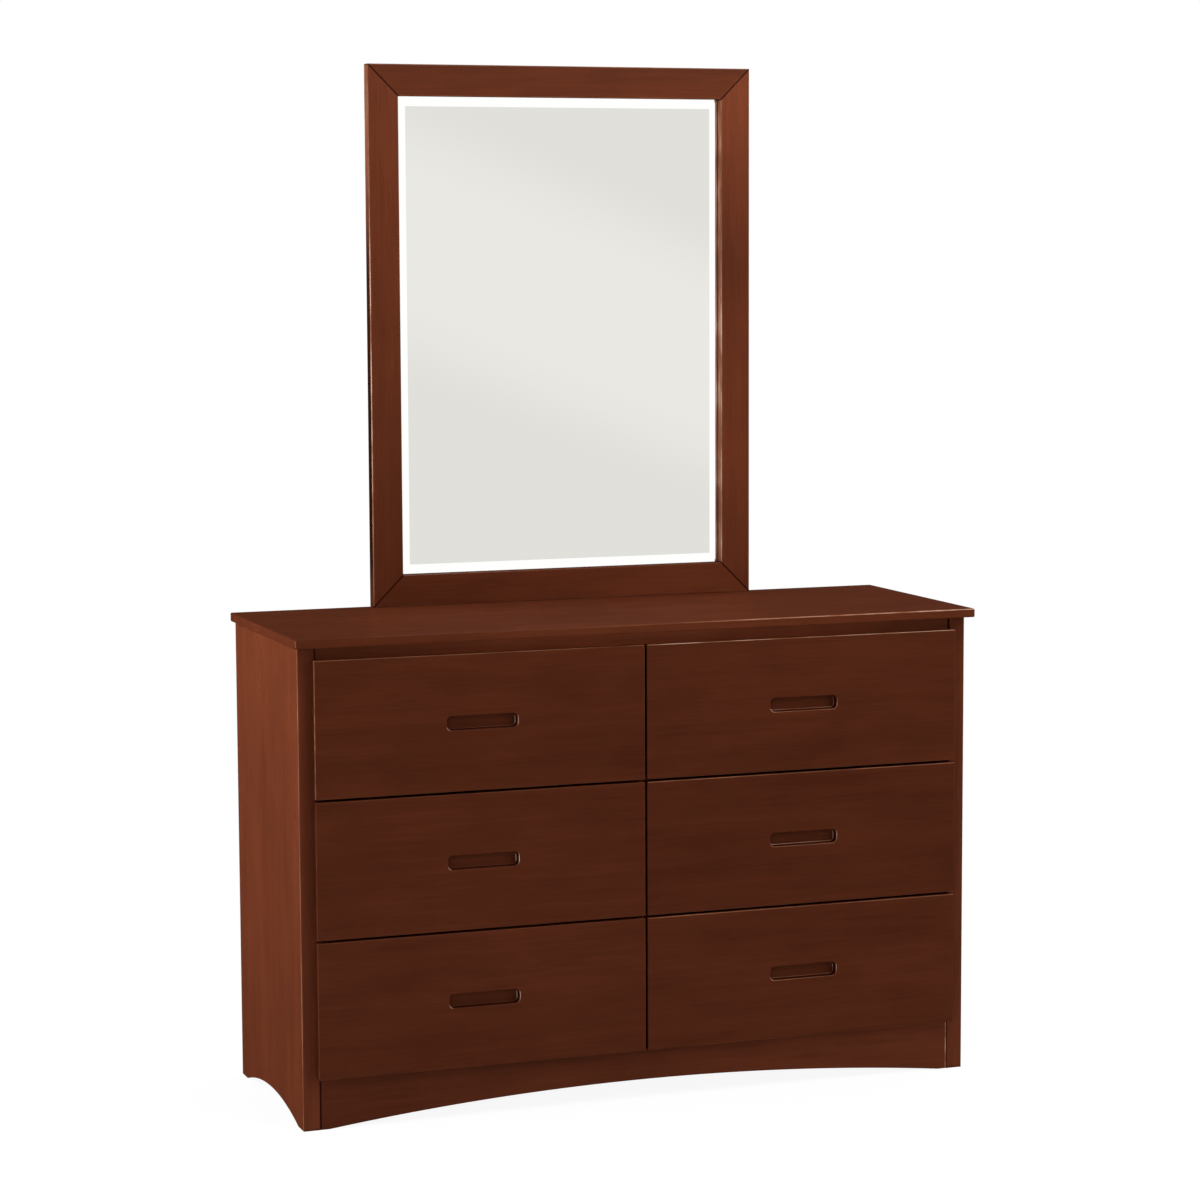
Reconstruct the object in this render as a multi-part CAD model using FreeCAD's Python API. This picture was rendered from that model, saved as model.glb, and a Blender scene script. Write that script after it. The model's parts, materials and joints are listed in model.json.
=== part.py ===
import FreeCAD, Part
import os

# Double dresser with six drawers and a framed mirror that stands on the back of its top.
# Millimetres. X runs along the front from left to right, Y from front to back, Z up.
# The origin lies on the floor under the middle of the whole object.

Vector = FreeCAD.Vector
X_WAY = Vector(1, 0, 0)
Y_WAY = Vector(0, 1, 0)
Z_WAY = Vector(0, 0, 1)

# Top
top_width = 1220.0
top_depth = 436.0
top_thickness = 15.0
top_side_overhang = 9.0
top_front_overhang = 25.0
top_corner_radius = 4.0
top_edge_radius = 2.0

# Case
dresser_height = 819.0
side_thickness = 30.0
side_foot_length = 33.0
side_arch_rise = 25.0
partition_thickness = 18.0
partition_floor_gap = 55.0
rail_thickness = 18.0
front_setback = 2.0
front_rail_lap = 8.0
apron_lap = 10.0
apron_foot_length = 15.0
apron_arch_rise = 33.0
back_thickness = 4.0
back_rebate_width = 12.0
back_fit = 0.5
back_top_rail_height = 100.0
back_base_rail_height = 60.0
back_floor_gap = 40.0
arris_radius = 1.5

# Blocks that hold the top
block_length = 70.0
block_size = 25.0
block_shares = (0.25, 0.75)

# Drawers
lowest_front = 86.5
top_reveal = 21.5
row_gap = 4.5
column_gap = 4.0
front_overlap = 6.0
front_thickness = 15.0
closing_gap = 0.4
box_rise = 20.0
box_drop = 29.0
box_side_gap = 4.0
box_back_gap = 9.0
box_wall = 12.0
box_back_inset = 6.0
box_back_drop = 8.0
bottom_thickness = 4.0
bottom_rise = 10.0
bottom_groove_depth = 5.0
bottom_fit = 0.5
bottom_play = 0.3

# Finger pull routed in each drawer front
pull_length = 124.0
pull_height = 24.0
pull_web = 5.0
pull_corner_radius = 8.0
pull_rim_radius = 1.0
pull_floor_radius = 2.0
pull_round_limit_share = 0.45

# Runners on the case, in grooves of the drawer sides
runner_height = 15.0
runner_setback = 12.0
runner_bite = 6.0
runner_clearance = 0.3
runner_side_play = 0.5
groove_lead = 6.0
runner_height_share = 0.5

# Mirror
mirror_width = 714.0
mirror_height = 945.0
frame_width = 55.0
frame_thickness = 22.0
backing_thickness = 3.0
frame_rebate = 10.0
frame_edge_radius = 2.0
glass_thickness = 3.0
glass_fit = 0.8
bevel_width = 26.0
bevel_fall = 1.8

# Mirror supports
support_width = 38.0
support_thickness = 18.0
support_tail = 14.0
support_reach = 580.0
support_edge_radius = 2.0
support_rail_shares = (0.25, 0.75)
support_stile_shares = (0.14, 0.5, 0.92)

# Turn buttons over the mirror's backing board
button_length = 28.0
button_width = 12.0
button_thickness = 1.5
button_head_radius = 3.0
button_head_height = 1.2
button_pin_radius = 1.2
button_pin_length = 8.0
button_lap = 9.0
button_rail_share = 0.5
button_stile_share = 0.5
button_round_share = 0.5

# Screws and nails
runner_screw_head = 3.2
runner_screw_shank = 1.6
runner_screw_bite = 6.5
runner_screw_shares = (0.12, 0.88)
block_screw_head = 4.0
block_screw_shank = 2.0
block_screw_bite = 9.0
support_screw_head = 4.2
support_screw_shank = 2.1
support_screw_bite = 14.0
nail_head_radius = 2.2
nail_head_height = 0.8
nail_radius = 0.8
nail_bite = 13.0
side_nail_shares = (0.06, 0.24, 0.42, 0.6, 0.78, 0.96)
partition_nail_shares = (0.3, 0.5, 0.7)
rail_nail_shares = (0.3, 0.7)
rail_nail_height_share = 0.5
hole_clearance = 0.15

# Overrun of every cut past the face that it opens, and the distance within which edges count as in place
overrun = 2.0
same_place = 0.001

# Names of the drawers' rows from the floor up, and of the two columns
row_names = ("bottom", "middle", "top")
columns = (("left", -1), ("right", 1))

# Places along Y
total_depth = top_depth + support_thickness
top_front = -total_depth / 2
case_front = top_front + top_front_overhang
case_back = top_front + top_depth
back_inner = case_back - back_thickness
back_rail_face = back_inner - rail_thickness
front_back = case_front - closing_gap
front_face = front_back - front_thickness
box_back = back_rail_face - box_back_gap
mirror_front = case_back - frame_thickness
glass_back = case_back - backing_thickness
glass_front = glass_back - glass_thickness
pull_floor = front_back - pull_web

# Places along X, measured from the middle
top_half = top_width / 2
case_half = top_half - top_side_overhang
inner_half = case_half - side_thickness
partition_half = partition_thickness / 2
back_half = inner_half + back_rebate_width - back_fit
box_inner_x = partition_half + box_side_gap
box_outer_x = inner_half - box_side_gap
mirror_half = mirror_width / 2
opening_half = mirror_half - frame_width
rebate_half = opening_half + frame_rebate
support_x = mirror_half - frame_width / 2

# Places along Z
under_top = dresser_height - top_thickness
rows = len(row_names)
fronts_height = under_top - top_reveal - lowest_front
front_height = (fronts_height - row_gap * (rows - 1)) / rows
front_rail_bottom = under_top - top_reveal - front_rail_lap
apron_top = lowest_front + apron_lap
back_top_rail_bottom = under_top - back_top_rail_height
back_base_rail_top = back_floor_gap + back_base_rail_height
box_height = front_height - box_rise - box_drop
mirror_bottom = dresser_height
mirror_top = mirror_bottom + mirror_height
opening_bottom = mirror_bottom + frame_width
opening_top = mirror_top - frame_width
rebate_bottom = opening_bottom - frame_rebate
rebate_top = opening_top + frame_rebate
support_bottom = back_top_rail_bottom - support_tail
support_top = mirror_bottom + support_reach

# Reach of the runners out of the walls that carry them, and lengths of the screws and nails
runner_reach = box_side_gap + runner_bite - runner_side_play
runner_screw_length = runner_reach + runner_screw_bite
block_screw_length = block_size + block_screw_bite
support_screw_length = support_thickness + support_screw_bite
nail_length = back_thickness + nail_bite


def block(x0, x1, y0, y1, z0, z1):
    """Box between two opposite corners."""
    return Part.makeBox(x1 - x0, y1 - y0, z1 - z0, Vector(x0, y0, z0))


def span(low, high, share):
    """Place at a share of the way from low to high."""
    return low + (high - low) * share


def lies_on(edge, axis, place):
    """True where the whole edge lies on the plane at that place along the axis."""
    low = getattr(edge.BoundBox, axis + "Min")
    high = getattr(edge.BoundBox, axis + "Max")
    return abs(low - place) < same_place and abs(high - place) < same_place


def runs_along(edge, axis):
    """True for a straight edge along the axis."""
    return abs(getattr(edge.BoundBox, axis + "Length") - edge.Length) < same_place


def is_front_corner(edge, front):
    """True for an upright edge in the front plane."""
    return runs_along(edge, "Z") and lies_on(edge, "Y", front)


def is_arch_edge(edge):
    """True for a curved edge."""
    return not isinstance(edge.Curve, Part.Line)


def rounded(shape, radius, chosen):
    """Shape with a round on each edge that the test picks."""
    return shape.makeFillet(radius, [edge for edge in shape.Edges if chosen(edge)])


def outline(points, arch, way):
    """Solid of a flat outline pushed along a vector, with one arc from the point before the arch to the next.

    The arch holds the index of the point where the arc starts and the arc's middle point.
    """
    start, crown = arch
    edges = []
    for index, point in enumerate(points):
        after = points[(index + 1) % len(points)]
        if index == start:
            edges.append(Part.Arc(point, crown, after).toShape())
        else:
            edges.append(Part.LineSegment(point, after).toShape())
    return Part.Face(Part.Wire(edges)).extrude(way)


def turned(profile, seat, way):
    """Solid of a profile of radius and height turned about its axis and set at a seat along a vector."""
    points = [Vector(radius, 0, height) for radius, height in profile]
    face = Part.Face(Part.makePolygon(points + points[:1]))
    solid = face.revolve(Vector(0, 0, 0), Z_WAY, 360)
    solid.Placement = FreeCAD.Placement(seat, FreeCAD.Rotation(Z_WAY, way))
    return solid


def screw(head, shank, length, seat, way):
    """Countersunk wood screw with the flat of its head at the seat."""
    taper = head - shank
    profile = [(0, 0), (head, 0), (shank, taper), (shank, length - shank), (0, length)]
    return turned(profile, seat, way)


def screw_hole(head, shank, length, seat, way):
    """Countersunk hole for such a screw, opened past the face that the head lies in."""
    taper = head - shank
    wide = head + hole_clearance
    slim = shank + hole_clearance
    deep = length + hole_clearance
    profile = [(0, -overrun), (wide, -overrun), (wide, 0), (slim, taper), (slim, deep - slim), (0, deep)]
    return turned(profile, seat, way)


def nail(seat, way):
    """Flat-headed nail whose head lies on the face at the seat."""
    profile = [
        (0, -nail_head_height), (nail_head_radius, -nail_head_height), (nail_head_radius, 0),
        (nail_radius, 0), (nail_radius, nail_length - nail_radius), (0, nail_length),
    ]
    return turned(profile, seat, way)


def nail_hole(seat, way):
    """Hole for the shank of such a nail."""
    slim = nail_radius + hole_clearance
    deep = nail_length + hole_clearance
    return turned([(0, -overrun), (slim, -overrun), (slim, deep - slim), (0, deep)], seat, way)


def group(solids):
    """Like solids kept together as one piece of the list."""
    return Part.makeCompound(list(solids))


def row_bottom(row):
    """Height of the lower edge of a row's drawer fronts."""
    return lowest_front + row * (front_height + row_gap)


def runner_middle(row):
    """Height of the middle of a row's runners."""
    return row_bottom(row) + box_rise + box_height * runner_height_share


def runner_screw_seats(side):
    """Head places and directions of the runner screws in one column, three rows on each of its two walls."""
    for row in range(rows):
        for wall, way in ((partition_half + runner_reach, -side), (inner_half - runner_reach, side)):
            for share in runner_screw_shares:
                y = span(case_front + runner_setback, back_rail_face, share)
                yield Vector(side * wall, y, runner_middle(row)), X_WAY * way


def block_places():
    """Middle and front of each block under the top, along the front rail and the back top rail."""
    front_row = case_front + front_setback + rail_thickness
    back_row = back_rail_face - block_size
    for name, side in columns:
        for share in block_shares:
            for y in (front_row, back_row):
                yield side * span(partition_half, inner_half, share), y


def block_screw_seats():
    """Head places of the screws that go up through the blocks into the top."""
    for x, y in block_places():
        yield Vector(x, y + block_size / 2, under_top - block_size), Z_WAY


def support_screw_seats():
    """Head places of the screws through the supports, into the back top rail and the mirror's stiles."""
    rail_heights = [span(back_top_rail_bottom, under_top, share) for share in support_rail_shares]
    stile_heights = [span(mirror_bottom, support_top, share) for share in support_stile_shares]
    for name, side in columns:
        for z in rail_heights + stile_heights:
            yield Vector(side * support_x, case_back + support_thickness, z), -Y_WAY


def nail_seats():
    """Places of the nails of the back panel, along both sides, the partition and the base rail."""
    for name, side in columns:
        for share in side_nail_shares:
            x = side * (inner_half + back_rebate_width / 2)
            yield Vector(x, case_back, span(back_floor_gap, under_top, share)), -Y_WAY
        for share in rail_nail_shares:
            z = span(back_floor_gap, back_base_rail_top, rail_nail_height_share)
            yield Vector(side * span(partition_half, inner_half, share), case_back, z), -Y_WAY
    for share in partition_nail_shares:
        yield Vector(0, case_back, span(back_base_rail_top, back_top_rail_bottom, share)), -Y_WAY


def button_places():
    """Pin place and inward direction of each turn button on the back of the mirror's frame."""
    clear = frame_rebate + button_length / 2 - button_lap
    for name, side in columns:
        x = side * opening_half * button_rail_share
        yield Vector(x, case_back, opening_top + clear), -Z_WAY
        yield Vector(x, case_back, opening_bottom - clear), Z_WAY
        z = span(support_top, opening_top, button_stile_share)
        yield Vector(side * (opening_half + clear), case_back, z), X_WAY * -side


def runner_screw_holes():
    """All holes of the runner screws."""
    sizes = (runner_screw_head, runner_screw_shank, runner_screw_length)
    return group(screw_hole(*sizes, *place) for name, side in columns for place in runner_screw_seats(side))


def block_screw_holes():
    """All holes of the screws that hold the top."""
    sizes = (block_screw_head, block_screw_shank, block_screw_length)
    return group(screw_hole(*sizes, *place) for place in block_screw_seats())


def support_screw_holes():
    """All holes of the support screws."""
    sizes = (support_screw_head, support_screw_shank, support_screw_length)
    return group(screw_hole(*sizes, *place) for place in support_screw_seats())


def nail_holes():
    """All holes of the back panel's nails."""
    return group(nail_hole(*place) for place in nail_seats())


def button_pin_holes():
    """Holes for the pins of the turn buttons."""
    slim = button_pin_radius + hole_clearance
    deep = button_pin_length + hole_clearance
    profile = [(0, -overrun), (slim, -overrun), (slim, deep), (0, deep)]
    return group(turned(profile, seat, -Y_WAY) for seat, way in button_places())


def top_panel():
    """Thin top with rounded corners and eased edges, drilled from below for its screws."""
    board = block(-top_half, top_half, top_front, case_back, under_top, dresser_height)
    board = rounded(board, top_corner_radius, lambda edge: is_front_corner(edge, top_front))
    board = rounded(board, top_edge_radius, lambda edge: lies_on(edge, "Z", dresser_height))
    board = rounded(board, top_edge_radius, lambda edge: lies_on(edge, "Z", under_top))
    return board.cut(block_screw_holes())


def side_panel(side):
    """Side of the case, cut to two feet by a shallow arch and rebated for the back panel."""
    foot_front = case_front + side_foot_length
    foot_back = case_back - side_foot_length
    inner = side * inner_half
    points = [
        Vector(inner, case_front, 0), Vector(inner, foot_front, 0), Vector(inner, foot_back, 0),
        Vector(inner, case_back, 0), Vector(inner, case_back, under_top),
        Vector(inner, case_front, under_top),
    ]
    crown = Vector(inner, (foot_front + foot_back) / 2, side_arch_rise)
    panel = outline(points, (1, crown), X_WAY * side * side_thickness)
    panel = rounded(panel, arris_radius, lambda edge: is_front_corner(edge, case_front))
    outer = side * case_half
    panel = rounded(panel, arris_radius, lambda edge: is_arch_edge(edge) and lies_on(edge, "X", outer))
    low, high = sorted((inner - side * overrun, inner + side * back_rebate_width))
    rebate = block(low, high, back_inner, case_back + overrun, back_floor_gap, under_top + overrun)
    return panel.cut(rebate).cut(runner_screw_holes()).cut(nail_holes())


def front_top_rail():
    """Rail under the front of the top, set back a little from the sides' edges."""
    front = case_front + front_setback
    return block(-inner_half, inner_half, front, front + rail_thickness, front_rail_bottom, under_top)


def front_base_rail():
    """Apron between the sides, with a long shallow arch over the floor."""
    foot = inner_half - apron_foot_length
    points = [
        Vector(-inner_half, case_front, 0), Vector(-foot, case_front, 0), Vector(foot, case_front, 0),
        Vector(inner_half, case_front, 0), Vector(inner_half, case_front, apron_top),
        Vector(-inner_half, case_front, apron_top),
    ]
    rail = outline(points, (1, Vector(0, case_front, apron_arch_rise)), Y_WAY * rail_thickness)
    return rounded(rail, arris_radius, lambda edge: is_arch_edge(edge) and lies_on(edge, "Y", case_front))


def back_top_rail():
    """Rail along the back under the top, which takes the mirror supports' screws."""
    rail = block(-inner_half, inner_half, back_rail_face, back_inner, back_top_rail_bottom, under_top)
    return rail.cut(support_screw_holes())


def back_base_rail():
    """Rail along the back above the floor."""
    rail = block(-inner_half, inner_half, back_rail_face, back_inner, back_floor_gap, back_base_rail_top)
    return rail.cut(nail_holes())


def centre_partition():
    """Upright board between the two columns of drawers, notched around the four rails."""
    front = case_front + front_setback
    board = block(-partition_half, partition_half, front, back_inner, partition_floor_gap, under_top)
    for rail in (front_top_rail(), front_base_rail(), back_top_rail(), back_base_rail()):
        board = board.cut(rail)
    return board.cut(runner_screw_holes()).cut(nail_holes())


def back_panel():
    """Thin panel nailed into the rebates of the sides."""
    panel = block(-back_half, back_half, back_inner, case_back, back_floor_gap, under_top)
    return panel.cut(nail_holes()).cut(support_screw_holes())


def top_blocks():
    """Blocks glued to the rails under the top."""
    for x, y in block_places():
        half = block_length / 2
        yield block(x - half, x + half, y, y + block_size, under_top - block_size, under_top)


def runner_pair(side, row):
    """Two wooden runners, one on the partition and one on the side panel, for one drawer."""
    middle = runner_middle(row)
    half = runner_height / 2
    bars = []
    faces = ((partition_half, partition_half + runner_reach), (inner_half, inner_half - runner_reach))
    for wall, face in faces:
        low, high = sorted((side * wall, side * face))
        bar = block(low, high, case_front + runner_setback, back_rail_face, middle - half, middle + half)
        bars.append(bar.cut(runner_screw_holes()))
    return group(bars)


def drawer_front(side, row):
    """Overlay front with eased edges, a routed finger pull and a groove for the bottom."""
    low, high = sorted((side * column_gap / 2, side * (inner_half + front_overlap)))
    bottom = row_bottom(row)
    board = block(low, high, front_face, front_back, bottom, bottom + front_height)
    board = rounded(board, arris_radius, lambda edge: lies_on(edge, "Y", front_face))
    board = board.cut(finger_pull((low + high) / 2, bottom + front_height / 2))
    board = rounded(board, pull_rim_radius, lambda edge: on_pull_mouth(edge, low, high, bottom))
    groove_low, groove_high = sorted((side * (box_inner_x + box_wall), side * (box_outer_x - box_wall)))
    groove_bottom = bottom + box_rise + bottom_rise
    groove = block(
        groove_low - bottom_groove_depth, groove_high + bottom_groove_depth,
        front_back - bottom_groove_depth, front_back + overrun,
        groove_bottom, groove_bottom + bottom_thickness + bottom_play,
    )
    return board.cut(groove)


def finger_pull(x, z):
    """Pocket of the finger pull: a rectangle with round corners and a rounded floor."""
    long = pull_length / 2
    high = pull_height / 2
    corner = min(pull_corner_radius, pull_height * pull_round_limit_share)
    pocket = block(x - long, x + long, front_face - overrun, pull_floor, z - high, z + high)
    pocket = rounded(pocket, corner, lambda edge: runs_along(edge, "Y"))
    return rounded(pocket, pull_floor_radius, lambda edge: lies_on(edge, "Y", pull_floor))


def on_pull_mouth(edge, low, high, bottom):
    """True for an edge of the front face that belongs to the finger pull and not to the board's outline."""
    box = edge.BoundBox
    inside_x = box.XMin > low + arris_radius + same_place and box.XMax < high - arris_radius - same_place
    inside_z = box.ZMin > bottom + arris_radius + same_place
    inside_top = box.ZMax < bottom + front_height - arris_radius - same_place
    return lies_on(edge, "Y", front_face) and inside_x and inside_z and inside_top


def drawer_side(wall_low, outer_low, row):
    """Side of a drawer box, grooved outside for the runner and inside for the bottom.

    The wall starts at wall_low, and outer_low says whether its outer face is the low one.
    """
    bottom = row_bottom(row) + box_rise
    wall_high = wall_low + box_wall
    board = block(wall_low, wall_high, front_back, box_back, bottom, bottom + box_height)
    half = runner_height / 2 + runner_clearance
    middle = runner_middle(row)
    if outer_low:
        runner_low, runner_high = wall_low - overrun, wall_low + runner_bite
        panel_low, panel_high = wall_high - bottom_groove_depth, wall_high + overrun
    else:
        runner_low, runner_high = wall_high - runner_bite, wall_high + overrun
        panel_low, panel_high = wall_low - overrun, wall_low + bottom_groove_depth
    groove_front = case_front + runner_setback - groove_lead
    groove_back = box_back + overrun
    runner_groove = block(runner_low, runner_high, groove_front, groove_back, middle - half, middle + half)
    panel_bottom = bottom + bottom_rise
    panel_top = panel_bottom + bottom_thickness + bottom_play
    panel_groove = block(panel_low, panel_high, front_back - overrun, groove_back, panel_bottom, panel_top)
    return board.cut(runner_groove).cut(panel_groove)


def drawer_back(low, high, row):
    """Back of a drawer box, between its sides and on its bottom."""
    bottom = row_bottom(row) + box_rise
    back = box_back - box_back_inset
    seat = bottom + bottom_rise + bottom_thickness
    return block(low, high, back - box_wall, back, seat, bottom + box_height - box_back_drop)


def drawer_bottom(low, high, row):
    """Thin bottom of a drawer box, in the grooves of its sides and front."""
    bite = bottom_groove_depth - bottom_fit
    seat = row_bottom(row) + box_rise + bottom_rise
    return block(low - bite, high + bite, front_back - bite, box_back, seat, seat + bottom_thickness)


def drawer(column, side, row):
    """The five pieces of one drawer by name."""
    name = column + "_" + row_names[row] + "_drawer_"
    outer_low, outer_high = sorted((side * box_inner_x, side * box_outer_x))
    low = outer_low + box_wall
    high = outer_high - box_wall
    return {
        name + "front": drawer_front(side, row),
        name + "left_side": drawer_side(outer_low, True, row),
        name + "right_side": drawer_side(high, False, row),
        name + "back": drawer_back(low, high, row),
        name + "bottom": drawer_bottom(low, high, row),
    }


def frame_member(outer, inner):
    """Mitred member of the mirror's frame, between two outer and two inner corners given as X and Z pairs."""
    corners = [Vector(x, mirror_front, z) for x, z in (outer[0], outer[1], inner[1], inner[0])]
    face = Part.Face(Part.makePolygon(corners + corners[:1]))
    bar = face.extrude(Y_WAY * frame_thickness)
    along = "X" if outer[0][1] == outer[1][1] else "Z"
    long_edge = lambda edge: runs_along(edge, along) and lies_on(edge, "Y", mirror_front)
    bar = rounded(bar, frame_edge_radius, long_edge)
    rebate = block(-rebate_half, rebate_half, glass_front, case_back + overrun, rebate_bottom, rebate_top)
    return bar.cut(rebate).cut(button_pin_holes()).cut(support_screw_holes())


def mirror_frame():
    """The four members of the mirror's frame by name."""
    wide, tall, low = mirror_half, mirror_top, mirror_bottom
    slim, head, foot = opening_half, opening_top, opening_bottom
    return {
        "mirror_top_rail": frame_member(((-wide, tall), (wide, tall)), ((-slim, head), (slim, head))),
        "mirror_bottom_rail": frame_member(((-wide, low), (wide, low)), ((-slim, foot), (slim, foot))),
        "mirror_left_stile": frame_member(((-wide, low), (-wide, tall)), ((-slim, foot), (-slim, head))),
        "mirror_right_stile": frame_member(((wide, low), (wide, tall)), ((slim, foot), (slim, head))),
    }


def glass_outline(inset, y):
    """Rectangle of the glass, drawn in from its edge by the inset, at a depth."""
    half = rebate_half - glass_fit - inset
    low = rebate_bottom + glass_fit + inset
    high = rebate_top - glass_fit - inset
    corners = [Vector(-half, y, low), Vector(half, y, low), Vector(half, y, high), Vector(-half, y, high)]
    return Part.makePolygon(corners + corners[:1])


def mirror_glass():
    """Silvered glass whose front falls away in a bevel towards its edges."""
    edge_front = glass_front + bevel_fall
    plate = Part.Face(glass_outline(0, edge_front)).extrude(Y_WAY * (glass_back - edge_front))
    bevel = Part.makeLoft([glass_outline(0, edge_front), glass_outline(bevel_width, glass_front)], True, True)
    return plate.fuse(bevel).removeSplitter()


def mirror_backing_board():
    """Board behind the glass, flush with the back of the frame."""
    return Part.Face(glass_outline(0, glass_back)).extrude(Y_WAY * (case_back - glass_back))


def mirror_support(side):
    """Upright batten behind one stile, from the back top rail to part of the mirror's height."""
    middle = side * support_x
    half = support_width / 2
    back = case_back + support_thickness
    bar = block(middle - half, middle + half, case_back, back, support_bottom, support_top)
    bar = rounded(bar, support_edge_radius, lambda edge: lies_on(edge, "Y", back))
    return bar.cut(support_screw_holes())


def turn_buttons():
    """Small plates with a pin, which lap over the backing board."""
    half_width = button_width / 2
    half_length = button_length / 2
    for seat, way in button_places():
        across = Y_WAY.cross(way)
        corners = [
            seat + way * (half_length * along) + across * (half_width * over)
            for along, over in ((-1, -1), (1, -1), (1, 1), (-1, 1))
        ]
        plate = Part.Face(Part.makePolygon(corners + corners[:1])).extrude(Y_WAY * button_thickness)
        plate = rounded(plate, half_width * button_round_share, lambda edge: runs_along(edge, "Y"))
        crown = button_thickness + button_head_height
        pin = turned(
            [(0, -crown), (button_head_radius, -crown), (button_head_radius, -button_thickness / 2),
             (button_pin_radius, -button_thickness / 2), (button_pin_radius, button_pin_length),
             (0, button_pin_length)], seat, -Y_WAY,
        )
        yield plate.fuse(pin).removeSplitter()


def fasteners():
    """The groups of screws, nails and turn buttons by name."""
    runner_sizes = (runner_screw_head, runner_screw_shank, runner_screw_length)
    block_sizes = (block_screw_head, block_screw_shank, block_screw_length)
    support_sizes = (support_screw_head, support_screw_shank, support_screw_length)
    runner_seats = [place for name, side in columns for place in runner_screw_seats(side)]
    return {
        "runner_screws": group(screw(*runner_sizes, *place) for place in runner_seats),
        "top_block_screws": group(screw(*block_sizes, *place) for place in block_screw_seats()),
        "mirror_support_screws": group(screw(*support_sizes, *place) for place in support_screw_seats()),
        "back_panel_nails": group(nail(*place) for place in nail_seats()),
        "mirror_turn_buttons": group(turn_buttons()),
    }


def case():
    """The fixed pieces of the case by name."""
    blocks = [piece.cut(block_screw_holes()) for piece in top_blocks()]
    pieces = {
        "top_panel": top_panel(),
        "front_top_rail": front_top_rail(),
        "front_base_rail": front_base_rail(),
        "back_top_rail": back_top_rail(),
        "back_base_rail": back_base_rail(),
        "centre_partition": centre_partition(),
        "back_panel": back_panel(),
        "top_blocks": group(blocks),
    }
    for column, side in columns:
        pieces[column + "_side_panel"] = side_panel(side)
        for row in range(rows):
            pieces[column + "_" + row_names[row] + "_runners"] = runner_pair(side, row)
    return pieces


def mirror():
    """The pieces of the mirror by name."""
    pieces = mirror_frame()
    pieces["mirror_glass"] = mirror_glass()
    pieces["mirror_backing_board"] = mirror_backing_board()
    for column, side in columns:
        pieces[column + "_mirror_support"] = mirror_support(side)
    return pieces


def drawers():
    """The pieces of all six drawers by name."""
    pieces = {}
    for column, side in columns:
        for row in range(rows):
            pieces.update(drawer(column, side, row))
    return pieces


os.makedirs("parts", exist_ok=True)
for node, shape in {**case(), **mirror(), **drawers(), **fasteners()}.items():
    shape.exportStep("parts/" + node + ".step")
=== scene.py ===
"""Dresser with mirror: surfaces, finishes and studio, laid out as an add-on and run as a script."""

import json
import math

import bpy
import numpy as np
from bpy.props import FloatProperty, FloatVectorProperty, IntProperty, PointerProperty
from mathutils import Matrix, Vector

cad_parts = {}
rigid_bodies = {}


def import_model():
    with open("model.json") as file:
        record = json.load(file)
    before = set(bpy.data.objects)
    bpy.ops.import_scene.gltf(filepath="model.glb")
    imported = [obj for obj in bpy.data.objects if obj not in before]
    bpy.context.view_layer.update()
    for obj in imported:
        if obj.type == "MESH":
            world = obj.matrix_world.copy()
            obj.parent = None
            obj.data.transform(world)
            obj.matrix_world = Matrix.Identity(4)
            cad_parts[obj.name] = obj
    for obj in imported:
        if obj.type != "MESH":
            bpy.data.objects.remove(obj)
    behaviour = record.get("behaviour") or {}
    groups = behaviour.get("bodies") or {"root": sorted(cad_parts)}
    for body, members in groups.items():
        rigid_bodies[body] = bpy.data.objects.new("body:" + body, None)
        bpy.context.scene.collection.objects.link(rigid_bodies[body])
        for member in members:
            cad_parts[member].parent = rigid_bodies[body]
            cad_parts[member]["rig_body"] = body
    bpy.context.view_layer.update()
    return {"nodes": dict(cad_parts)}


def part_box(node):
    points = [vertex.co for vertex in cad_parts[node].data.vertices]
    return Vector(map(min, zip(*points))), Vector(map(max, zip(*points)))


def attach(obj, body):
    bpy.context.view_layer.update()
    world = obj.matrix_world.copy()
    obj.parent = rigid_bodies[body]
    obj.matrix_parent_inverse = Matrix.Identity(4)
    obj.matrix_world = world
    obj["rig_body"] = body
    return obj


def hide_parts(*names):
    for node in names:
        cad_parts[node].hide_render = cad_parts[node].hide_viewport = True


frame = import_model()

bl_info = {
    "name": "Dresser with mirror",
    "version": (1, 0, 0),
    "blender": (4, 5, 0),
    "location": "View3D > Sidebar > Dresser",
    "description": "Builds the boards, drawers, mirror and finishes of a cherry dresser around its CAD frame",
    "category": "Object",
}

ROWS = ("bottom", "middle", "top")
COLUMNS = ("left", "right")
DRAWERS = tuple((column, row) for row in ROWS for column in COLUMNS)
AXES = {"X": 0, "Y": 1, "Z": 2}
WHITE = (1.0, 1.0, 1.0, 1.0)
FLOOR_GREY = (0.80, 0.80, 0.80, 1.0)

# Metres: small lengths that keep corners and shading clean, and half the floor's width
LEAST_CORNER = 0.0003
SHARP_STEP = 0.0002
CORNER_HOLD = 0.005
GLASS_HOLD = 0.001
FLOOR_REACH = 60.0

# Points along the arches, and sections along a member of the mirror's frame with both ends counted
SIDE_ARCH_POINTS = 49
APRON_ARCH_POINTS = 97
BAR_SECTIONS = 14

# Marks of the finish: wear, rubbed edges and painted highlights, turns to the rubbed colour at one
# and to pale bare wood at two; stain, staining with painted light and painted shade, lightens or
# darkens; joint, dark joints with painted shade, is dark at one; and each board number gives another
# figure of the wood
TOP_BOARD, TOP_STAIN = 110.06, 0.16
# Top's edges: a painted highlight from none at the left to strong at the right, little rubbing on the back
# edges, and a painted glint on the front-left corner
TOP_EDGE_GLINT, TOP_WEAR_BACK, TOP_CORNER_GLINT = (-3.6, 4.4), 0.1, 3.0

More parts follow.
